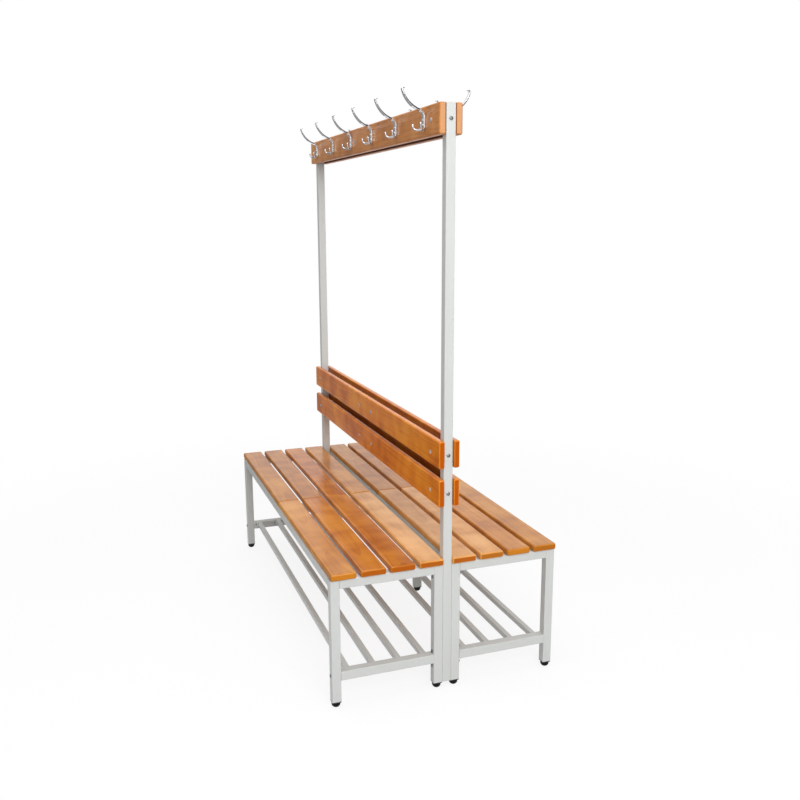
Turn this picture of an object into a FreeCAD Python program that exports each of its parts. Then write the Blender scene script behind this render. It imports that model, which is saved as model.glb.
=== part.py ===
import FreeCAD, Part
import math
import os

# A two-sided cloakroom bench: two slatted seats back to back, with two posts between them that carry
# backrest boards and hook rails on both sides, and a shoe rack under each seat.
# X runs along the bench, Y from side a (negative) to side b (positive), Z up from the floor.
# The near end is at positive X. Lengths are in millimetres.

# Overall sizes
seat_height = 450.0
bench_length = 1500.0
bench_depth = 372.0
end_overhang = 10.0
post_top = 1832.0

# Frame tube: legs, seat frames, posts and back tubes
tube = 30.0
tube_wall = 1.5
tube_corner = 2.5

# Seat slats: each row is two boards that meet at mid-length
slat_rows = 4
slat_thickness = 22.0
slat_gap = 14.0
slat_edge = 6.0
slat_joint = 0.6

# Shoe racks: end tubes between the legs, and bars between the end tubes
rack_tube = 30.0
rack_top = 121.0
rack_bar = 18.0
rack_bar_count = 4
rack_bar_inset = 26.0
rack_corner = 2.0
vent_radius = 3.0
vent_offset = 17.0
vent_drop = 11.0

# Backrest boards, hook rails, and the columns of screws that hold them
board_height = 88.0
board_thickness = 20.0
board_edge = 6.0
board_lift = 172.0
board_gap = 36.0
fixing_drop = 4.0
rail_height = 90.0
rail_thickness = 22.0
rail_inset = 10.0
rail_edge = 6.0
outer_column_inset = 33.0
inner_column = 74.0

# Hooks: a flat strip that bends out into a long arm, and two round prongs
hook_count = 6
hook_inset = 115.0
hook_drop = 72.0
hook_width = 20.0
hook_tip_width = 13.0
hook_thickness = 6.0
hook_tip_thickness = 3.2
hook_bend_drop = 32.0
hook_bend = 19.0
hook_sweep = 88.0
hook_root_slope = 20.0
hook_tip_slope = 74.0
hook_tip_bend = 0.6
hook_tip_turn = 76.0
hook_lip = 7.0
hook_edge = 1.0
prong_radius = 3.0
prong_ball = 3.8
prong_spread = 33.5
prong_reach = 25.0
prong_lift = 7.0
prong_bend = 15.0
prong_fall_angle = 6.0
prong_rise_angle = 88.0
hook_screw_shares = (0.23, 0.7)

# Levelling feet and the sockets that they screw into
leg_lift = 20.0
foot_radius = 14.5
foot_pad_radius = 8.0
foot_dome = 11.0
foot_seat_gap = 0.3
stem_radius = 5.0
stem_length = 42.0
stem_clearance = 0.05
socket_lip = 3.0
socket_depth = 24.0
plug_clearance = 0.2

# Post caps
cap_lip = 2.0
cap_depth = 12.0

# Bolts and nuts
bolt_radius = 3.0
bolt_head_radius = 6.0
bolt_head_height = 3.4
bolt_clearance = 0.25
thread_clearance = 0.05
nut_radius = 5.8
nut_height = 5.0
bolt_stub = 2.0
end_nut_length = 8.0
bolt_bite = 12.0
clamp_seat_drop = 13.0
clamp_rack_rise = 7.0
clamp_rack_drop = 14.0

# Screws
screw_radius = 2.5
screw_head_radius = 6.5
screw_head_height = 3.2
slat_bite = 14.0
board_bite = 6.0
hook_screw_radius = 2.0
hook_screw_head_radius = 3.8
hook_screw_head_height = 2.2
hook_screw_bite = 14.0
screw_clearance = 0.1

# Shares of a fastener's own sizes, and a margin for cuts
rim_share = 0.35
socket_share = 0.42
socket_depth_share = 0.55
overrun = 1.0

# Places worked out from the sizes above
frame_end = bench_length / 2 - end_overhang
frame_top = seat_height - slat_thickness
inner_face = tube / 2
outer_face = inner_face + bench_depth
inner_line = (inner_face, inner_face + tube)
outer_line = (outer_face - tube, outer_face)
between_legs = (inner_face + tube, outer_face - tube)
seat_tube_heights = (frame_top - tube, frame_top)
rack_tube_heights = (rack_top - rack_tube, rack_top)
rack_axis_height = rack_top - rack_tube / 2
vent_height = rack_top - vent_drop
end_tube_middle = frame_end - tube / 2
rack_tube_middle = frame_end - rack_tube / 2
slat_width = (bench_depth - (slat_rows - 1) * slat_gap) / slat_rows
first_bar = between_legs[0] + rack_bar_inset
last_bar = between_legs[1] - rack_bar_inset
bar_pitch = (last_bar - first_bar) / (rack_bar_count - 1)
bar_places = [first_bar + i * bar_pitch for i in range(rack_bar_count)]
middle_leg_start = bar_places[1] + rack_bar / 2
middle_line = (middle_leg_start, middle_leg_start + tube)
rail_middle = post_top - rail_height / 2
lower_board_middle = seat_height + board_lift + board_height / 2
upper_board_middle = lower_board_middle + board_height + board_gap
lower_fixing = lower_board_middle - fixing_drop
upper_fixing = upper_board_middle - fixing_drop
back_tube_heights = {"lower": lower_fixing, "upper": upper_fixing, "top": rail_middle}
rail_face = inner_face + rail_thickness
foot_height = leg_lift - socket_lip - foot_seat_gap
clamp_heights = (
    rack_tube_heights[0] - clamp_rack_drop,
    rack_tube_heights[1] + clamp_rack_rise,
    seat_tube_heights[0] - clamp_seat_drop,
)
sides = {"a": -1, "b": 1}
ends = {"near": 1, "far": -1}
lines = {"inner": inner_line, "outer": outer_line}
outer_column = frame_end - tube - outer_column_inset
column_places = (-outer_column, -inner_column, inner_column, outer_column)

os.makedirs("parts", exist_ok=True)


def vector(*values):
    """A point or a direction."""
    return FreeCAD.Vector(*values)


def write(name, solids):
    """Writes one node's solids to its file."""
    shape = solids[0] if len(solids) == 1 else Part.makeCompound(solids)
    shape.exportStep("parts/" + name + ".step")


def on_side(sign, span):
    """A span of distances from the middle plane, put on one side of it, low value first."""
    return tuple(sorted((sign * span[0], sign * span[1])))


def block(x_span, y_span, z_span):
    """A plain box over three spans."""
    spans = (x_span, y_span, z_span)
    low = [span[0] for span in spans]
    size = [span[1] - span[0] for span in spans]
    return Part.makeBox(*size, vector(*low))


def long_edges(shape, axis):
    """The edges of a box that run along one axis."""
    return [edge for edge in shape.Edges if edge.tangentAt(edge.FirstParameter)[axis] != 0]


def square_tube(spans, axis, corner):
    """A square tube over three spans: long outer edges rounded, open at both ends of its axis."""
    outer = block(*spans)
    outer = outer.makeFillet(corner, long_edges(outer, axis))
    shrink = [-overrun if i == axis else tube_wall for i in range(3)]
    bore = block(*[(span[0] + s, span[1] - s) for span, s in zip(spans, shrink)])
    return outer.cut(bore)


def board(spans, edge):
    """A wooden board over three spans with all its edges rounded."""
    plain = block(*spans)
    return plain.makeFillet(edge, plain.Edges)


def drill(start, direction, length, radius):
    """A round cutter from a point along a direction, with the overrun at both ends."""
    way = vector(*direction)
    return Part.makeCylinder(radius, length + 2 * overrun, vector(*start) - way * overrun, way)


def hexagon(radius, low, high):
    """A six-sided prism about Z between two heights, with its corners on a radius."""
    turns = [math.radians(60 * i) for i in range(7)]
    corners = [vector(radius * math.cos(t), radius * math.sin(t), low) for t in turns]
    return Part.Face(Part.makePolygon(corners)).extrude(vector(0, 0, high - low))


def turned(edges):
    """A solid of revolution about Z from the edges of a closed half profile in the XZ plane."""
    return Part.Face(Part.Wire(edges)).revolve(vector(0, 0, 0), vector(0, 0, 1), 360)


def xz(x, z):
    """A point of the XZ plane."""
    return vector(x, 0, z)


def yz(y, z):
    """A point of the YZ plane."""
    return vector(0, y, z)


def joined(plane, points):
    """Straight edges through points of a plane, a function of two coordinates."""
    at = [plane(*point) for point in points]
    return [Part.LineSegment(p, q).toShape() for p, q in zip(at, at[1:])]


def arc(plane, centre, radius, start, end):
    """A circular edge in a plane between two angles in degrees."""
    turns = [math.radians(a) for a in (start, (start + end) / 2, end)]
    points = [plane(centre[0] + radius * math.cos(t), centre[1] + radius * math.sin(t)) for t in turns]
    return Part.Arc(*points).toShape()


def fastener(head_radius, head_height, shank_radius, length):
    """A dome-headed screw about Z: its socketed head stands on Z = 0 and its shank points down."""
    rim = head_height * rim_share
    rise = head_height - rim
    dome = (head_radius ** 2 + rise ** 2) / (2 * rise)
    edge_angle = math.degrees(math.acos(head_radius / dome))
    lower = joined(xz, [(0, -length), (shank_radius, -length), (shank_radius, 0),
                        (head_radius, 0), (head_radius, rim)])
    top = arc(xz, (0, head_height - dome), dome, edge_angle, 90)
    axis = joined(xz, [(0, head_height), (0, -length)])
    solid = turned(lower + [top] + axis)
    socket_floor = head_height * (1 - socket_depth_share)
    return solid.cut(hexagon(head_radius * socket_share, socket_floor, head_height + overrun))


def placed(shape, position, outward):
    """A copy of a shape built about Z, at a position, with its Z axis along a direction."""
    turn = FreeCAD.Rotation(vector(0, 0, 1), vector(*outward))
    copy = shape.copy()
    copy.Placement = FreeCAD.Placement(vector(*position), turn)
    return copy


# Legs: square tube from the foot socket to under the slats, four at the corners of each bench.
# Inner legs are bolted to the posts, and every corner leg is drilled for the rack's end bolts.
# A fifth leg stands at mid-length under the seat's middle tube, against a bar of the rack.
bolt_hole = bolt_radius + bolt_clearance
access_hole = bolt_head_radius + bolt_clearance


def leg(side, end, line):
    """One corner leg, drilled through both walls along Y."""
    start = side * lines[line][0]
    outward = (0, side, 0)
    spans = [on_side(end, (frame_end - tube, frame_end)), on_side(side, lines[line]), (leg_lift, frame_top)]
    rack_bolt_spot = (end * rack_tube_middle, start, rack_axis_height)
    holes = [drill(rack_bolt_spot, outward, tube, bolt_hole)]
    if line == "inner":
        holes.append(drill(rack_bolt_spot, outward, tube_wall, access_hole))
        for z in clamp_heights:
            holes.append(drill((end * end_tube_middle, start, z), outward, tube, bolt_hole))
    return square_tube(spans, 2, tube_corner).cut(holes)


for side_name, side in sides.items():
    for end_name, end in ends.items():
        for line in lines:
            write("_".join(["leg", side_name, end_name, line]), [leg(side, end, line)])
    middle_spans = [(-tube / 2, tube / 2), on_side(side, middle_line), (leg_lift, seat_tube_heights[0])]
    write("_".join(["leg", side_name, "middle"]), [square_tube(middle_spans, 2, tube_corner)])

# Seat frames: end tubes between the legs, a middle tube under the slats' joint, and side rails along X.
# The slat screws pass up through the cross tubes, one for each slat at each support.
row_middles = [outer_face - slat_width / 2 - row * (slat_width + slat_gap) for row in range(slat_rows)]
screw_hole = screw_radius + screw_clearance
middle_screw_place = tube / 4
support_places = (-end_tube_middle, -middle_screw_place, middle_screw_place, end_tube_middle)


def seat_cross_tube(side, x_span):
    """A seat tube along Y, drilled for the slat screws that fall inside its span of X."""
    spans = [x_span, on_side(side, between_legs), seat_tube_heights]
    holes = [drill((x, side * y, seat_tube_heights[0]), (0, 0, 1), tube, screw_hole)
             for x in support_places if x_span[0] < x < x_span[1] for y in row_middles]
    return square_tube(spans, 1, tube_corner).cut(holes)


for side_name, side in sides.items():
    end_spans = [on_side(end, (frame_end - tube, frame_end)) for end in ends.values()]
    cross_spans = end_spans + [(-tube / 2, tube / 2)]
    write("seat_cross_tubes_" + side_name, [seat_cross_tube(side, span) for span in cross_spans])
    rail_spans = [[(tube - frame_end, frame_end - tube), on_side(side, line_span), seat_tube_heights]
                  for line_span in lines.values()]
    write("seat_side_rails_" + side_name, [square_tube(spans, 0, tube_corner) for spans in rail_spans])

# Seat slats: rounded boards, two to a row, that lie on the seat frames and are screwed from below.


def slat(side, end, middle):
    """One half-length slat with the pilot holes of its two screws."""
    y_span = on_side(side, (middle - slat_width / 2, middle + slat_width / 2))
    x_span = on_side(end, (slat_joint / 2, bench_length / 2))
    pilots = [drill((end * x, side * middle, frame_top), (0, 0, 1), slat_bite, screw_hole)
              for x in (middle_screw_place, end_tube_middle)]
    return board([x_span, y_span, (frame_top, seat_height)], slat_edge).cut(pilots)


slat_screw = fastener(screw_head_radius, screw_head_height, screw_radius, tube + slat_bite)
wood_screws = []
for side_name, side in sides.items():
    for row, middle in enumerate(row_middles):
        for end_name, end in ends.items():
            write("_".join(["slat", side_name + str(row + 1), end_name]), [slat(side, end, middle)])
        for x in support_places:
            wood_screws.append(placed(slat_screw, (x, side * middle, seat_tube_heights[0]), (0, 0, -1)))

# Shoe racks: two end tubes bolted between the legs, and bars welded between them level with their tops.
# A small vent hole in each end tube's inner wall stands beside each bar.


def rack_end_tube(side, end):
    """A rack's end tube along Y with its row of vent holes."""
    x_span = on_side(end, (frame_end - rack_tube, frame_end))
    spans = [x_span, on_side(side, between_legs), rack_tube_heights]
    vents = [drill((end * (frame_end - rack_tube), side * (y + vent_offset), vent_height), (end, 0, 0),
                   tube_wall, vent_radius) for y in bar_places]
    return square_tube(spans, 1, rack_corner).cut(vents)


for side_name, side in sides.items():
    pieces = [rack_end_tube(side, end) for end in ends.values()]
    for y in bar_places:
        spans = [(rack_tube - frame_end, frame_end - rack_tube),
                 on_side(side, (y - rack_bar / 2, y + rack_bar / 2)), (rack_top - rack_bar, rack_top)]
        pieces.append(square_tube(spans, 0, rack_corner))
    write("shoe_rack_" + side_name, pieces)

# Posts: square tubes between the inner legs, drilled across for the clamp bolts and along X for the
# bolts of the back tubes. A cap closes each upper end, level with the hook rails.


def post(end):
    """One post with its bolt holes."""
    x_span = on_side(end, (frame_end - tube, frame_end))
    spans = [x_span, (-inner_face, inner_face), (leg_lift, post_top - cap_lip)]
    holes = []
    for z in clamp_heights:
        holes.append(drill((end * end_tube_middle, -inner_face, z), (0, 1, 0), tube, bolt_hole))
    for z in back_tube_heights.values():
        holes.append(drill((end * (frame_end - tube), 0, z), (end, 0, 0), tube, bolt_hole))
    return square_tube(spans, 2, tube_corner).cut(holes)


def tube_plug(side_length, z_span):
    """A square plug about Z that fits a tube of the given outside with the plug clearance."""
    half = side_length / 2 - tube_wall - plug_clearance
    return block((-half, half), (-half, half), z_span)


def tube_lip(z_span):
    """A square lip about Z with the frame tube's own outline."""
    half = tube / 2
    lip = block((-half, half), (-half, half), z_span)
    return lip.makeFillet(tube_corner, long_edges(lip, 2))


post_cap = tube_lip((-cap_lip, 0)).fuse(tube_plug(tube, (-cap_lip - cap_depth, -cap_lip)))
post_caps = []
for end_name, end in ends.items():
    write("post_" + end_name, [post(end)])
    post_caps.append(placed(post_cap, (end * end_tube_middle, 0, post_top), (0, 0, 1)))
write("post_caps", post_caps)

# Back tubes: horizontal tubes between the posts, behind the boards and the hook rails.
# The screws of the boards and rails go into them.


def back_tube(height):
    """A tube along X with screw holes through both side walls."""
    z_span = (height - tube / 2, height + tube / 2)
    spans = [(tube - frame_end, frame_end - tube), (-inner_face, inner_face), z_span]
    holes = [drill((x, -inner_face, height), (0, 1, 0), tube, screw_hole) for x in column_places]
    return square_tube(spans, 0, tube_corner).cut(holes)


for name, height in back_tube_heights.items():
    write("back_tube_" + name, [back_tube(height)])

# Backrest boards and hook rails: boards with rounded edges on the outer faces of the posts and back tubes.
# The hook rails carry pilot holes for the hook screws.
rail_end = bench_length / 2 - rail_inset
last_hook = rail_end - hook_inset
hook_places = [last_hook * (2 * i / (hook_count - 1) - 1) for i in range(hook_count)]
strip_top = post_top - hook_bend_drop
strip_bottom = post_top - hook_drop + prong_lift
hook_screw_heights = [strip_top + share * (strip_bottom - strip_top) for share in hook_screw_shares]
hook_screw_hole = hook_screw_radius + screw_clearance


def back_board(side, half_length, thickness, z_span, edge, fixing_height):
    """A board on one side's face of the posts, bored for its four screws."""
    spans = [(-half_length, half_length), on_side(side, (inner_face, inner_face + thickness)), z_span]
    holes = [drill((x, side * inner_face, fixing_height), (0, side, 0), thickness, screw_hole)
             for x in column_places]
    return board(spans, edge).cut(holes)


def board_screws_of(side, thickness, height):
    """The row of dome-headed screws of one board."""
    screw = fastener(screw_head_radius, screw_head_height, screw_radius, thickness + tube_wall + board_bite)
    front = side * (inner_face + thickness)
    return [placed(screw, (x, front, height), (0, side, 0)) for x in column_places]


for side_name, side in sides.items():
    for name, middle, fixing in (("lower", lower_board_middle, lower_fixing),
                                 ("upper", upper_board_middle, upper_fixing)):
        z_span = (middle - board_height / 2, middle + board_height / 2)
        backrest = back_board(side, bench_length / 2, board_thickness, z_span, board_edge, fixing)
        write("_".join(["backrest_board", side_name, name]), [backrest])
        wood_screws += board_screws_of(side, board_thickness, fixing)
    z_span = (post_top - rail_height, post_top)
    rail = back_board(side, rail_end, rail_thickness, z_span, rail_edge, rail_middle)
    pilots = [drill((x, side * rail_face, z), (0, -side, 0), hook_screw_bite, hook_screw_hole)
              for x in hook_places for z in hook_screw_heights]
    write("hook_rail_" + side_name, [rail.cut(pilots)])
    wood_screws += board_screws_of(side, rail_thickness, rail_middle)

# Hooks: cast in one piece and chromed. A flat strip lies on the rail, bends out and sweeps up into
# the hat arm, whose tip turns back in. Two round prongs with ball tips curve out of its lower end.
# They are built at the rail's top edge: X across the strip, Y out from the rail, Z up.


def spot(centre, radius, angle):
    """A point at a distance and an angle in degrees from a centre."""
    turn = math.radians(angle)
    return (centre[0] + radius * math.cos(turn), centre[1] + radius * math.sin(turn))


root_angle = hook_root_slope - 90
tip_angle = hook_tip_slope - 90
lip_angle = tip_angle + hook_tip_turn
bend_centre = (hook_thickness + hook_bend, -hook_bend_drop)
sweep_centre = spot(bend_centre, hook_bend + hook_sweep, root_angle + 180)
tip_radius = hook_tip_thickness + hook_tip_bend
tip_centre = spot(sweep_centre, hook_sweep - tip_radius, tip_angle)


def lip_point(radius, run):
    """A point of the arm's lip: so far from the tip bend's centre, and so far along from the bend's end."""
    return spot(spot(tip_centre, radius, lip_angle), run, lip_angle + 90)


hook_top = lip_point(tip_radius, hook_lip)[1]


def inner_sweep():
    """The arm's inner edge from tip to root: an arc that lets the arm thin out evenly towards its tip."""
    thicknesses = (hook_tip_thickness, (hook_tip_thickness + hook_thickness) / 2, hook_thickness)
    angles = (tip_angle, (tip_angle + root_angle) / 2, root_angle)
    spots = [spot(sweep_centre, hook_sweep - t, angle) for t, angle in zip(thicknesses, angles)]
    return Part.Arc(*[yz(*point) for point in spots]).toShape()


def hook_strip():
    """The strip and arm: its side outline, made as wide as its front outline, with all edges rounded."""
    back = (0, bend_centre[1])
    front = (hook_thickness, bend_centre[1])
    outline = joined(yz, [back, (0, -hook_drop), (hook_thickness, -hook_drop), front])
    outline.append(arc(yz, bend_centre, hook_bend, 180, root_angle + 180))
    outline.append(arc(yz, sweep_centre, hook_sweep, root_angle, tip_angle))
    outline.append(arc(yz, tip_centre, tip_radius, tip_angle, lip_angle))
    outline += joined(yz, [lip_point(tip_radius, 0), lip_point(tip_radius, hook_lip),
                           lip_point(hook_tip_bend, hook_lip), lip_point(hook_tip_bend, 0)])
    outline.append(arc(yz, tip_centre, hook_tip_bend, lip_angle, tip_angle))
    outline.append(inner_sweep())
    outline.append(arc(yz, bend_centre, hook_bend + hook_thickness, root_angle + 180, 180))
    half = hook_width / 2
    tip = hook_tip_width / 2
    side_view = Part.Face(Part.Wire(outline)).extrude(vector(hook_width, 0, 0))
    side_view.translate(vector(-half, 0, 0))
    front_outline = [arc(xz, (0, half - hook_drop), half, 180, 360)]
    front_outline += joined(xz, [
        (half, half - hook_drop), (half, -hook_bend_drop), (tip, hook_top + overrun),
        (-tip, hook_top + overrun), (-half, -hook_bend_drop), (-half, half - hook_drop),
    ])
    reach = sweep_centre[0] + hook_sweep + 2 * overrun
    front_view = Part.Face(Part.Wire(front_outline)).extrude(vector(0, reach, 0))
    front_view.translate(vector(0, -overrun, 0))
    strip = side_view.common(front_view)
    return strip.makeFillet(hook_edge, strip.Edges)


def prong(hand):
    """One prong towards positive or negative X: it runs out, bends up and ends in a ball."""
    root = vector(0, prong_radius, prong_lift - hook_drop)
    level = vector(hand * prong_spread, prong_reach - prong_radius, 0)
    fall = math.radians(prong_fall_angle)
    rise = math.radians(prong_rise_angle)
    run = level.Length - prong_bend * (math.sin(fall) + math.sin(rise))
    way = level.normalize()
    up = vector(0, 0, 1)
    start_way = way * math.cos(fall) - up * math.sin(fall)
    knee = root + start_way * (run / math.cos(fall))
    centre = knee + (way * math.sin(fall) + up * math.cos(fall)) * prong_bend
    turns = ((rise - fall) / 2, rise)
    middle, tip = [centre + (way * math.sin(t) - up * math.cos(t)) * prong_bend for t in turns]
    path = Part.Wire([Part.LineSegment(root, knee).toShape(), Part.Arc(knee, middle, tip).toShape()])
    section = Part.Wire([Part.Circle(root, start_way, prong_radius).toShape()])
    return path.makePipeShell([section], True, False).fuse(Part.makeSphere(prong_ball, tip))


def hook():
    """One hook with its two screw holes."""
    whole = hook_strip().fuse([prong(1), prong(-1)])
    holes = [drill((0, 0, z - post_top), (0, 1, 0), hook_thickness, hook_screw_hole)
             for z in hook_screw_heights]
    return whole.cut(holes).removeSplitter()


one_hook = hook()
hook_screw = fastener(hook_screw_head_radius, hook_screw_head_height, hook_screw_radius,
                      hook_thickness + hook_screw_bite)
for side_name, side in sides.items():
    turn = FreeCAD.Rotation(vector(0, 0, 1), 0 if side > 0 else 180)
    hooks = []
    for x in hook_places:
        copy = one_hook.copy()
        copy.Placement = FreeCAD.Placement(vector(x, side * rail_face, post_top), turn)
        hooks.append(copy)
        for z in hook_screw_heights:
            seat = (x, side * (rail_face + hook_thickness), z)
            wood_screws.append(placed(hook_screw, seat, (0, side, 0)))
    write("hooks_" + side_name, hooks)
write("wood_screws", wood_screws)

# Feet: moulded levelling feet with a domed base and a screw stem, in sockets pressed into the legs.


def levelling_foot():
    """A foot about Z with its pad on Z = 0: domed base, flat top, stem."""
    flare = foot_radius - foot_pad_radius
    dome = (flare ** 2 + foot_dome ** 2) / (2 * flare)
    start = -math.degrees(math.asin(foot_dome / dome))
    top = foot_height + stem_length
    base = joined(xz, [(0, 0), (foot_pad_radius, 0)])
    base.append(arc(xz, (foot_radius - dome, foot_dome), dome, start, 0))
    base += joined(xz, [(foot_radius, foot_dome), (foot_radius, foot_height), (stem_radius, foot_height),
                        (stem_radius, top), (0, top), (0, 0)])
    return turned(base)


def foot_socket():
    """A tube insert about Z: a lip under the leg, a plug inside it, and the stem's bore."""
    lip = tube_lip((leg_lift - socket_lip, leg_lift))
    plug = tube_plug(tube, (leg_lift, leg_lift + socket_depth))
    stem_hole = stem_radius + stem_clearance
    bore = drill((0, 0, leg_lift - socket_lip), (0, 0, 1), socket_lip + socket_depth, stem_hole)
    return lip.fuse(plug).cut(bore)


one_foot = levelling_foot()
one_socket = foot_socket()
sockets = []
for side_name, side in sides.items():
    for end_name, end in ends.items():
        for line, line_span in lines.items():
            spot = (end * end_tube_middle, side * sum(line_span) / 2, 0)
            write("_".join(["foot", side_name, end_name, line]), [placed(one_foot, spot, (0, 0, 1))])
            sockets.append(placed(one_socket, spot, (0, 0, 1)))
    spot = (0, side * sum(middle_line) / 2, 0)
    write("_".join(["foot", side_name, "middle"]), [placed(one_foot, spot, (0, 0, 1))])
    sockets.append(placed(one_socket, spot, (0, 0, 1)))
write("foot_sockets", sockets)

# Frame bolts and nuts. Clamp bolts pass through leg, post and leg, with hexagon nuts on side b.
# Post bolts and rack bolts are screwed into square nuts in the ends of the back tubes and rack end tubes.
clamp_bolt = fastener(bolt_head_radius, bolt_head_height, bolt_radius, 3 * tube + nut_height + bolt_stub)
post_bolt = fastener(bolt_head_radius, bolt_head_height, bolt_radius, tube + bolt_bite)
outer_rack_bolt = post_bolt
inner_rack_bolt = fastener(bolt_head_radius, bolt_head_height, bolt_radius, tube_wall + bolt_bite)
thread_hole = bolt_radius + thread_clearance
clamp_nut = hexagon(nut_radius, 0, nut_height).cut(drill((0, 0, 0), (0, 0, 1), nut_height, thread_hole))


def end_nut(side_length):
    """A square nut about Z that fills a tube's end, from Z = 0 down, with a bore right through."""
    bore = drill((0, 0, -end_nut_length), (0, 0, 1), end_nut_length, thread_hole)
    return tube_plug(side_length, (-end_nut_length, 0)).cut(bore)


back_nut = end_nut(tube)
rack_nut = end_nut(rack_tube)
clamp_face = inner_face + tube
bolts = []
nuts = []
for end in ends.values():
    for z in clamp_heights:
        bolts.append(placed(clamp_bolt, (end * end_tube_middle, -clamp_face, z), (0, -1, 0)))
        nuts.append(placed(clamp_nut, (end * end_tube_middle, clamp_face, z), (0, 1, 0)))
    for z in back_tube_heights.values():
        bolts.append(placed(post_bolt, (end * frame_end, 0, z), (end, 0, 0)))
        nuts.append(placed(back_nut, (end * (frame_end - tube), 0, z), (end, 0, 0)))
    for side in sides.values():
        x = end * rack_tube_middle
        inner_end = side * between_legs[0]
        outer_end = side * between_legs[1]
        inner_seat = inner_end - side * tube_wall
        bolts.append(placed(inner_rack_bolt, (x, inner_seat, rack_axis_height), (0, -side, 0)))
        bolts.append(placed(outer_rack_bolt, (x, side * outer_face, rack_axis_height), (0, side, 0)))
        nuts.append(placed(rack_nut, (x, inner_end, rack_axis_height), (0, -side, 0)))
        nuts.append(placed(rack_nut, (x, outer_end, rack_axis_height), (0, side, 0)))
write("frame_bolts", bolts)
write("frame_nuts", nuts)
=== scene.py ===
import bpy
import numpy as np
from mathutils import Matrix, Vector


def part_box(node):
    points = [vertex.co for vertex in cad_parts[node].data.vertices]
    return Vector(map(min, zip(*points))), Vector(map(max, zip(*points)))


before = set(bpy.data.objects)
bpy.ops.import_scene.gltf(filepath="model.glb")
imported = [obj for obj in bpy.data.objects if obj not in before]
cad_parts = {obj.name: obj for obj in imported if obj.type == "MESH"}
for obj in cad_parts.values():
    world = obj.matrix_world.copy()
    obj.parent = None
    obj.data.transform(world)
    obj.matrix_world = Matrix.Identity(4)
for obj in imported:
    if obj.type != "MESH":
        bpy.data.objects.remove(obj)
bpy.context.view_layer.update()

# Frame tubes: the legs, seat frames, shoe racks, posts and back tubes are square steel tube.
# They are welded or bolted together and coated with light grey powder, baked on, which leaves a
# satin skin with a fine orange-peel texture.

powder_grey = (0.635, 0.648, 0.632)
powder_roughness = 0.42
# Painted shade: the near black of the inside of the rack's end tubes.
bore_shade_level = 0.01
bore_margin = 0.001
middle_tone = 0.5


class Strand:
    """A socket in a node tree. Arithmetic on strands adds Math nodes to that tree."""

    def __init__(self, tree, socket=None):
        self.tree = tree
        self.socket = socket

    def add(self, kind, settings, inputs, *outputs):
        """A new node: its settings come first, then values or links go to its sockets.

        Returns the named outputs, or the first output if none is named.
        """
        node = self.tree.nodes.new("ShaderNode" + kind)
        for name, value in settings.items():
            if name == "stops":
                ramp = node.color_ramp.elements
                while len(ramp) < len(value):
                    ramp.new(1.0)
                for element, (position, colour) in zip(ramp, value):
                    element.position = position
                    element.color = shade(colour)
            else:
                setattr(node, name, value)
        for name, value in inputs.items():
            if isinstance(value, Strand):
                self.tree.links.new(value.socket, node.inputs[name])
            else:
                node.inputs[name].default_value = value
        if not node.outputs:
            return None
        found = [Strand(self.tree, node.outputs[name]) for name in outputs or [0]]
        return found[0] if len(found) == 1 else found

    def math(self, operation, *values):
        """A Math node of this operation on the given values."""
        return self.add("Math", {"operation": operation}, dict(enumerate(values)))

    def __add__(self, other):
        return self.math("ADD", self, other)

    def __sub__(self, other):
        return self.math("SUBTRACT", self, other)

    def __rsub__(self, other):
        return self.math("SUBTRACT", other, self)

    def __mul__(self, other):
        return self.math("MULTIPLY", self, other)

    def __truediv__(self, other):
        return self.math("DIVIDE", self, other)

    def __pow__(self, other):
        return self.math("POWER", self, other)

    __radd__ = __add__
    __rmul__ = __mul__

    def rise(self, low, high):
        """A smooth step from 0 at low to 1 at high."""
        return self.add("MapRange", {"interpolation_type": "SMOOTHSTEP"},
                        {"Value": self, "From Min": low, "From Max": high})

    def mix(self, first, second):
        """The first colour where this strand is 0 and the second where it is 1."""
        return self.add("Mix", {"data_type": "RGBA"}, {0: self, 6: first, 7: second}, 2)

    def noise(self, place, counts, detail=2.0, shift=(0.0, 0.0, 0.0)):
        """Noise around 0, from about -0.5 to 0.5, with so many blobs to a metre along X, Y and Z."""
        mapped = self.add("Mapping", {}, {"Vector": place, "Location": shift, "Scale": counts})
        return self.add("TexNoise", {}, {"Vector": mapped, "Scale": 1.0, "Detail": detail}) - 0.5

    def bump(self, strength, depth):
        """A normal that shows this strand as relief, where a rise of 1 is so many metres deep."""
        return self.add("Bump", {}, {"Strength": strength, "Distance": depth, "Height": self})


def shade(colour, factor=1.0):
    """A colour times a factor, with full alpha."""
    return (*[factor * channel for channel in colour], 1.0)


def neutral(level):
    """A grey of this level, with full alpha."""
    return shade((level, level, level))


def new_finish(name):
    """An empty material, a strand that adds nodes to it, and the places on the piece in metres."""
    material = bpy.data.materials.new(name)
    material.use_nodes = True
    material.node_tree.nodes.clear()
    pen = Strand(material.node_tree)
    return material, pen, pen.add("TexCoord", {}, {}, "Object")


def close_finish(pen, **shader):
    """The Principled shader of a material, with spaces for underscores in its sockets' names."""
    sockets = {name.replace("_", " "): value for name, value in shader.items()}
    surface = pen.add("BsdfPrincipled", {}, sockets)
    pen.add("OutputMaterial", {}, {"Surface": surface})


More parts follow.
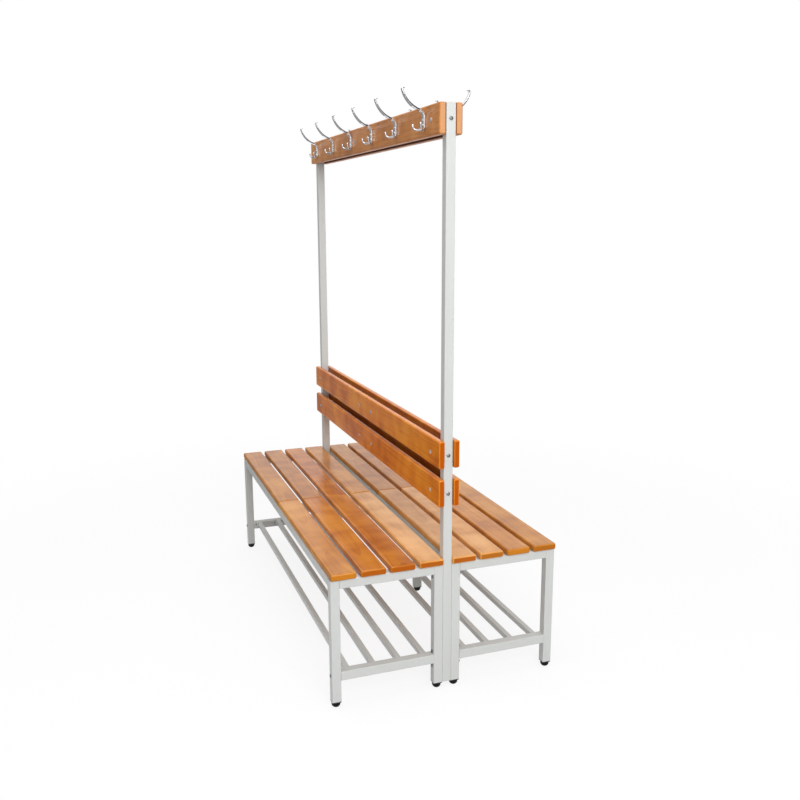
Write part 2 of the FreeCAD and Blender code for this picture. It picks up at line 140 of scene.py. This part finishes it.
def powder_coat(name, bore=None):
    """Baked powder: faint clouds and specks in the grey, and an orange-peel bump about 1.5 mm across.

    Bore is the inside of a tube, which the powder doesn't reach. It is painted near black, as the
    shade that falls inside the tube. Bore gives the range of its distance from the bench's middle,
    and the range of its height.
    """
    cloud_counts = (5.0, 5.0, 5.0)
    speck_counts = (1400.0, 1400.0, 1400.0)
    peel_counts = (650.0, 650.0, 650.0)
    peel_strength = 0.25
    peel_depth = 0.0003
    cloud_share = 0.5
    speck_share = 0.7
    rough_speck_share = 0.2
    dark_share = 0.94
    light_share = 1.05
    material, pen, place = new_finish(name)
    clouds = pen.noise(place, cloud_counts)
    specks = pen.noise(place, speck_counts)
    peel = pen.noise(place, peel_counts, detail=1.0)
    tone = middle_tone + cloud_share * clouds + speck_share * specks
    colour = tone.mix(shade(powder_grey, dark_share), shade(powder_grey, light_share))
    if bore:
        x, z = pen.add("SeparateXYZ", {}, {"Vector": place}, "X", "Z")
        inside = 1.0
        for value, (low, high) in zip((pen.math("ABSOLUTE", x), z), bore):
            inside = inside * pen.math("GREATER_THAN", value, low) * pen.math("LESS_THAN", value, high)
        # The inside of the tube is painted near black, as the shade that falls in it.
        colour = inside.mix(colour, neutral(bore_shade_level))
    close_finish(pen, Base_Color=colour, Roughness=powder_roughness + rough_speck_share * specks,
                 Normal=peel.bump(peel_strength, peel_depth))
    return material


def coat(material, *names):
    """Gives a finish to whole CAD nodes, found by the start of their names.

    A later coat takes the place of an earlier one.
    """
    for name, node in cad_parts.items():
        if name.startswith(names):
            for slot in node.material_slots:
                slot.material = material


coat(powder_coat("frame_powder"), "leg_", "seat_", "post_", "back_tube_")
low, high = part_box("shoe_rack_a")
tube_width = high.z - low.z
bore_along = (high.x - tube_width + bore_margin, high.x - bore_margin)
bore_upward = (low.z + bore_margin, high.z - bore_margin)
coat(powder_coat("rack_powder", (bore_along, bore_upward)), "shoe_rack_")

# Feet and sockets: levelling feet with a screw stem, in plugs pressed into the legs' lower ends.
# Both are moulded in black plastic, the feet with a duller skin than the plugs.

foot_black = (0.003, 0.003, 0.003)
foot_roughness = 0.35
foot_shine = 0.12
socket_black = (0.012, 0.012, 0.013)
plug_roughness = 0.4


def moulded_plastic(name, colour, roughness, shine=0.5):
    """Moulded plastic: a slight cloudiness, and a fine grain from the mould's surface."""
    cloud_counts = (60.0, 60.0, 60.0)
    grain_counts = (1800.0, 1800.0, 1800.0)
    grain_strength = 0.15
    grain_depth = 0.0002
    light_share = 1.6
    rough_cloud_share = 0.15
    material, pen, place = new_finish(name)
    clouds = pen.noise(place, cloud_counts)
    grain = pen.noise(place, grain_counts)
    cloudy = (middle_tone + clouds).mix(shade(colour), shade(colour, light_share))
    close_finish(pen, Base_Color=cloudy, Roughness=roughness + rough_cloud_share * clouds,
                 Specular_IOR_Level=shine, Normal=grain.bump(grain_strength, grain_depth))
    return material


coat(moulded_plastic("foot_plastic", foot_black, foot_roughness, foot_shine), "foot_")
coat(moulded_plastic("socket_plastic", socket_black, plug_roughness), "foot_sockets")

# Post caps: moulded plugs pressed into the posts' open upper ends to close them.
# They are plastic, coloured to match the powder.

cap_grey = (0.56, 0.57, 0.55)
coat(moulded_plastic("cap_plastic", cap_grey, plug_roughness), "post_caps")

# Seat slats: planed hardwood boards with rounded edges, two to a row, stained orange-brown and
# lacquered. They lie on the seat frames and are screwed from below, so no fixing shows on top.
# Each wood has a dark, a middle and a light tone.

straw = ((0.58, 0.225, 0.036), (0.76, 0.345, 0.086), (0.88, 0.450, 0.145))
honey = ((0.46, 0.150, 0.012), (0.61, 0.230, 0.024), (0.74, 0.320, 0.050))
amber = ((0.42, 0.110, 0.006), (0.58, 0.185, 0.012), (0.69, 0.260, 0.026))
fawn = ((0.40, 0.130, 0.010), (0.54, 0.200, 0.018), (0.66, 0.280, 0.036))
pale_end = (0.61, 0.210, 0.017)
warm_end = (0.47, 0.145, 0.012)
deep_end = (0.46, 0.105, 0.005)
slat_lacquer = {"gloss": 0.8, "blur": 0.18, "side_gloss": 0.2}
first_slat_seed = 1
pith_depth = 0.07


def lacquered_wood(name, tones, end_colour, pith, seed, gloss, blur, side_gloss, back=0.0, back_shade=0.0):
    """Stained and lacquered hardwood with its grain along X.

    Growth rings are distances from a wavy pith line along X, in widths of one ring. Drift along
    the board, curl across it, fibres and pores shift the tone, and a ramp turns tone into colour.
    The ends, cut across the grain, soak up stain and lacquer, so they are even in colour and dull.
    Gloss is the lacquer on the broad faces, blur its roughness, and side gloss the lacquer on the
    narrow sides as a multiple of gloss. Back is the Y direction of a face that lies against the
    frame. The last argument gives the share of painted shade on that face: it darkens the wood
    towards a dark brown and takes its lacquer away. The leans are ranges of a normal's part along
    one axis, over which a face comes to count as an end, a back or a broad face.
    """
    end_lean = (0.85, 0.98)
    back_lean = (0.5, 0.9)
    broad_lean = (0.1, 0.5)
    seed_steps = (1.7, 3.1, 5.3)
    sway_counts = (1.6, 6.0, 6.0)
    drift_counts = (2.2, 3.0, 3.0)
    curl_counts = (13.0, 9.0, 9.0)
    fibre_counts = (7.0, 330.0, 330.0)
    pore_counts = (60.0, 1100.0, 1100.0)
    pore_levels = (0.12, 0.26)
    pith_sway = 0.03
    ring_width = 0.006
    mean_ring = 0.33
    drift_share = 1.5
    curl_share = 1.2
    fibre_share = 0.5
    ring_share = 0.22
    tone_stops = (0.15, 0.5, 0.85)
    pore_share = 0.45
    pore_dark_share = 0.5
    end_share = 0.95
    # Shares of the dark tone for the painted shade on the face toward the frame.
    back_shade_shares = (0.2, 0.1, 0.1)
    wood_roughness = 0.5
    wood_shine = 0.06
    rough_fibre_share = 0.15
    relief_fibre_share = 0.6
    relief_curl_share = 1.5
    relief_strength = 0.3
    relief_depth = 0.0004
    dark = tones[0]
    back_shade_colour = [share * channel for share, channel in zip(back_shade_shares, dark)]
    shift = tuple(step * seed for step in seed_steps)

    material, pen, place = new_finish(name)
    y, z = pen.add("SeparateXYZ", {}, {"Vector": place}, "Y", "Z")
    normal = pen.add("NewGeometry", {}, {}, "Normal")
    along, across, upward = pen.add("SeparateXYZ", {}, {"Vector": normal}, "X", "Y", "Z")
    end_grain = pen.math("ABSOLUTE", along).rise(*end_lean)
    side_grain = 1.0 - end_grain
    # Painted shade on the face toward the frame, by the share that the last argument gives.
    back_shade_mask = back_shade * (back * across).rise(*back_lean)
    broad = pen.math("ABSOLUTE", across if back else upward).rise(*broad_lean)
    sway = pen.noise(place, sway_counts, shift=shift)
    drift = pen.noise(place, drift_counts, shift=shift)
    curl = pen.noise(place, curl_counts, detail=1.5, shift=shift)
    fibres = pen.noise(place, fibre_counts, shift=shift) * side_grain
    pores = pen.noise(place, pore_counts, shift=shift).rise(*pore_levels) * side_grain
    from_pith = pen.math("SQRT", (y - pith[0]) ** 2.0 + (z - pith[1]) ** 2.0)
    rings = pen.math("FRACT", (from_pith + pith_sway * sway) / ring_width) ** 2.0
    tone = middle_tone + drift_share * drift + curl_share * curl + fibre_share * fibres
    tone = tone - ring_share * (rings - mean_ring)
    colour = pen.add("ValToRGB", {"stops": list(zip(tone_stops, tones))}, {"Fac": tone})
    colour = (pore_share * pores).mix(colour, shade(dark, pore_dark_share))
    colour = (end_share * end_grain).mix(colour, shade(end_colour))
    # The face toward the frame is painted dark, as shade.
    colour = back_shade_mask.mix(colour, shade(back_shade_colour))
    lacquer = gloss * side_grain * (1.0 - back_shade_mask) * (side_gloss + (1.0 - side_gloss) * broad)
    relief = relief_fibre_share * fibres + relief_curl_share * curl
    close_finish(pen, Base_Color=colour, Roughness=wood_roughness + rough_fibre_share * fibres,
                 Specular_IOR_Level=wood_shine, Coat_Weight=lacquer, Coat_Roughness=blur, Coat_IOR=1.5,
                 Normal=relief.bump(relief_strength, relief_depth))
    return material


slat_woods = {
    "a1_near": (honey, pale_end), "a1_far": (fawn, warm_end),
    "a2_near": (amber, deep_end), "a2_far": (fawn, warm_end),
    "a3_near": (amber, deep_end), "a3_far": (amber, deep_end),
    "a4_near": (straw, deep_end), "a4_far": (honey, warm_end),
    "b1_near": (fawn, warm_end), "b1_far": (fawn, deep_end),
    "b2_near": (honey, pale_end), "b2_far": (honey, warm_end),
    "b3_near": (straw, warm_end), "b3_far": (honey, pale_end),
    "b4_near": (straw, deep_end), "b4_far": (honey, warm_end),
}
for seed, (place_name, (tones, end_colour)) in enumerate(slat_woods.items(), first_slat_seed):
    low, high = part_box("slat_" + place_name)
    middle = (low + high) / 2
    pith = (middle.y, middle.z - pith_depth)
    wood = lacquered_wood("slat_wood_" + place_name, tones, end_colour, pith, seed, **slat_lacquer)
    coat(wood, "slat_" + place_name)

# Backrest boards: full-length boards of the same wood, one above the other on each side.
# They are screwed to the back tubes and run past the posts.

russet = ((0.58, 0.135, 0.003), (0.77, 0.220, 0.006), (0.88, 0.310, 0.016))
board_end = (0.48, 0.088, 0.001)
# The last key gives the share of painted shade on the boards' faces toward the frame.
board_lacquer = {"gloss": 0.5, "blur": 0.22, "side_gloss": 1.6, "back_shade": 0.5}
board_names = ("a_lower", "a_upper", "b_lower", "b_upper")
first_board_seed = 21
toward_frame = {"a": 1.0, "b": -1.0}
for seed, place_name in enumerate(board_names, first_board_seed):
    low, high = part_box("backrest_board_" + place_name)
    middle = (low + high) / 2
    pith = (middle.y - pith_depth, middle.z)
    wood = lacquered_wood("backrest_wood_" + place_name, russet, board_end, pith, seed,
                          back=toward_frame[place_name[0]], **board_lacquer)
    coat(wood, "backrest_board_" + place_name)

# Hook rails: boards of the same wood, a little browner, level with the posts' tops.
# They are screwed to the top back tube, and their sawn ends stay pale.

umber = ((0.42, 0.140, 0.026), (0.57, 0.215, 0.050), (0.69, 0.300, 0.085))
rail_end = (0.68, 0.340, 0.160)
# The last key gives the share of painted shade on the rails' faces toward the frame.
rail_lacquer = {"gloss": 0.4, "blur": 0.35, "side_gloss": 1.2, "back_shade": 0.9}
first_rail_seed = 31
for seed, (side, back) in enumerate(toward_frame.items(), first_rail_seed):
    low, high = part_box("hook_rail_" + side)
    middle = (low + high) / 2
    pith = (middle.y - pith_depth, middle.z)
    wood = lacquered_wood("rail_wood_" + side, umber, rail_end, pith, seed, back=back, **rail_lacquer)
    coat(wood, "hook_rail_" + side)

# Hooks: each is cast in one piece, polished and chrome plated.
# Two screws hold it to the rail.

chrome = (0.70, 0.70, 0.72)
chrome_roughness = 0.07


def plated_metal(name, colour, roughness):
    """Plating: smears in which its tint and gloss change a little, and a trace of ripple."""
    smear_counts = (90.0, 90.0, 240.0)
    ripple_counts = (160.0, 160.0, 160.0)
    ripple_strength = 0.04
    ripple_depth = 0.0003
    dark_share = 0.9
    rough_smear_share = 0.08
    material, pen, place = new_finish(name)
    smears = pen.noise(place, smear_counts)
    ripple = pen.noise(place, ripple_counts, detail=1.0)
    tinted = (middle_tone + smears).mix(shade(colour), shade(colour, dark_share))
    close_finish(pen, Base_Color=tinted, Metallic=1.0, Roughness=roughness + rough_smear_share * smears,
                 Normal=ripple.bump(ripple_strength, ripple_depth))
    return material


coat(plated_metal("hook_plating", chrome, chrome_roughness), "hooks_")

# Screws, bolts and nuts: zinc plated steel, the heads domed with a hexagon socket.
# The screws hold the wood and the hooks. The bolts and nuts clamp the frames, and have a darker
# copy of the same zinc: a painted reflection of the dark surroundings that their domes mirror.

bright_zinc = (0.80, 0.80, 0.79)
bright_roughness = 0.35
reflection_dark_zinc = (0.24, 0.24, 0.24)
dull_roughness = 0.4
coat(plated_metal("bright_zinc", bright_zinc, bright_roughness), "wood_screws")
# Painted reflection: the bolts' and nuts' zinc is darkened to stand for dark surroundings mirrored in
# their domes.
coat(plated_metal("reflection_dark_zinc", reflection_dark_zinc, dull_roughness), "frame_bolts", "frame_nuts")

# Studio: a pale floor that runs into a white background, a wide soft lamp in front of the near end and
# one overhead. Dark screens around the bench and dark sheets on the floor beside it show only as
# reflections, mostly in metal and lacquer. They light nothing and cast no shadow.

floor_half = 30.0
floor_level = 0.55
shadow_share = 0.14
shadow_reach = (1.2, 3.2)
white = neutral(1.0)


def level_sheet(outline, height):
    """The corners of a level sheet: an outline in X and Y, at one height."""
    return [(*corner, height) for corner in outline]


def upright_sheet(start, end, bottom, top):
    """The corners of an upright sheet, which stands over a line between two points in X and Y."""
    return [(*start, bottom), (*end, bottom), (*end, top), (*start, top)]


def sheet_object(name, corners, finish):
    """One flat face through four corners."""
    mesh = bpy.data.meshes.new(name)
    mesh.from_pydata(corners, [], [(0, 1, 2, 3)])
    mesh.materials.append(finish)
    made = bpy.data.objects.new(name, mesh)
    bpy.context.scene.collection.objects.link(made)
    return made


def seen_share(pen):
    """1 for what the camera sees, also in metal or through glass, and 0 for light on the bench."""
    direct, mirrored, through = pen.add("LightPath", {}, {}, "Is Camera Ray", "Is Glossy Ray",
                                        "Is Transmission Ray")
    return pen.math("MAXIMUM", pen.math("MAXIMUM", direct, mirrored), through)


# The camera sees the floor as white, with a share of the bench's shadow near it. The light that the
# floor sends back to the bench is that of a grey one.
floor_finish, pen, place = new_finish("floor_white")
seen = seen_share(pen)
distance = pen.add("VectorMath", {"operation": "LENGTH"}, {0: place}, "Value")
shadowed = shadow_share * (1.0 - distance.rise(*shadow_reach))
matte = pen.add("BsdfDiffuse", {}, {"Color": seen.mix(neutral(floor_level), white)})
glow = pen.add("Emission", {}, {"Color": white, "Strength": 1.0})
blended = pen.add("MixShader", {}, {0: (1.0 - shadowed) * seen, 1: matte, 2: glow})
pen.add("OutputMaterial", {}, {"Surface": blended})
floor_outline = [(-floor_half, -floor_half), (floor_half, -floor_half),
                 (floor_half, floor_half), (-floor_half, floor_half)]
floor = sheet_object("floor", level_sheet(floor_outline, 0.0), floor_finish)

# The screens and sheets are darkest beside the bench, and lighter well past its far end.
far_level = 0.38
near_level = 0.05
far_to_near = (-4.0, -2.0)
screen_top = 4.0
front_bottom = 1.8
front_top = 3.6
sheet_height = 0.02
beside = [(-3.0, -6.0), (2.0, -6.0), (-0.8, -0.66), (-3.0, -0.66)]
beyond = [(-9.0, -6.0), (-3.0, -6.0), (-3.0, -0.1), (-9.0, -0.1)]
screens = {
    "dark_screen": upright_sheet((-6.0, -0.8), (-0.5, -5.0), 0.0, screen_top),
    "dark_sheet_beside": level_sheet(beside, sheet_height),
    "dark_sheet_beyond": level_sheet(beyond, sheet_height),
    "dark_screen_front": upright_sheet((4.5, 0.9), (4.5, 4.0), front_bottom, front_top),
    "dark_screen_opposite": upright_sheet((-2.5, 5.0), (3.0, 5.0), 0.0, screen_top),
}
screen_finish, pen, place = new_finish("screen_black")
nearness = pen.add("SeparateXYZ", {}, {"Vector": place}, "X").rise(*far_to_near)
darkness = nearness.mix(neutral(far_level), neutral(near_level))
dim = pen.add("Emission", {}, {"Color": darkness, "Strength": 1.0})
pen.add("OutputMaterial", {}, {"Surface": dim})
for name, corners in screens.items():
    screen = sheet_object(name, corners, screen_finish)
    screen.visible_camera = False
    screen.visible_diffuse = False
    screen.visible_shadow = False

ambient = 0.54
world = bpy.data.worlds.new("studio")
bpy.context.scene.world = world
world.use_nodes = True
world.node_tree.nodes.clear()
pen = Strand(world.node_tree)
brightness = ambient + (1.0 - ambient) * seen_share(pen)
sky = pen.add("Background", {}, {"Color": white, "Strength": brightness})
pen.add("OutputWorld", {}, {"Surface": sky})


def soft_lamp(name, position, target, width, watts):
    """A square area lamp at a position, facing a target."""
    lamp = bpy.data.lights.new(name, "AREA")
    lamp.size = width
    lamp.energy = watts
    made = bpy.data.objects.new(name, lamp)
    aim = Vector(position) - Vector(target)
    made.matrix_world = Matrix.Translation(position) @ aim.to_track_quat("Z", "Y").to_matrix().to_4x4()
    bpy.context.scene.collection.objects.link(made)


soft_lamp("front_lamp", position=(4.2, -0.3, 2.7), target=(0.3, 0.0, 1.2), width=2.2, watts=105.0)
soft_lamp("top_lamp", position=(0.3, -0.6, 4.2), target=(0.0, 0.0, 0.8), width=2.6, watts=45.0)

# Camera: at about eye height, a little to the left of the bench's near end, aimed slightly down.
# Its turn, tilt and roll are in degrees, and its focal length and sensor in millimetres.

eye = Vector((3.132, -1.027, 1.507))
turn, tilt, roll = np.radians((70.06, 11.83, -0.18))
focal_length = 39.06
sensor_width = 36.0
backward = Vector((np.sin(turn) * np.cos(tilt), -np.cos(turn) * np.cos(tilt), np.sin(tilt)))
level_right = Vector((np.cos(turn), np.sin(turn), 0.0))
level_up = backward.cross(level_right)
right = level_right * np.cos(roll) + level_up * np.sin(roll)
up = level_up * np.cos(roll) - level_right * np.sin(roll)
optics = bpy.data.cameras.new("camera")
optics.lens = focal_length
optics.sensor_width = sensor_width
camera = bpy.data.objects.new("camera", optics)
axes = Matrix((right, up, backward)).transposed()
camera.matrix_world = Matrix.Translation(eye) @ axes.to_4x4()
bpy.context.scene.collection.objects.link(camera)
bpy.context.scene.camera = camera
bpy.context.scene.view_settings.view_transform = "Standard"
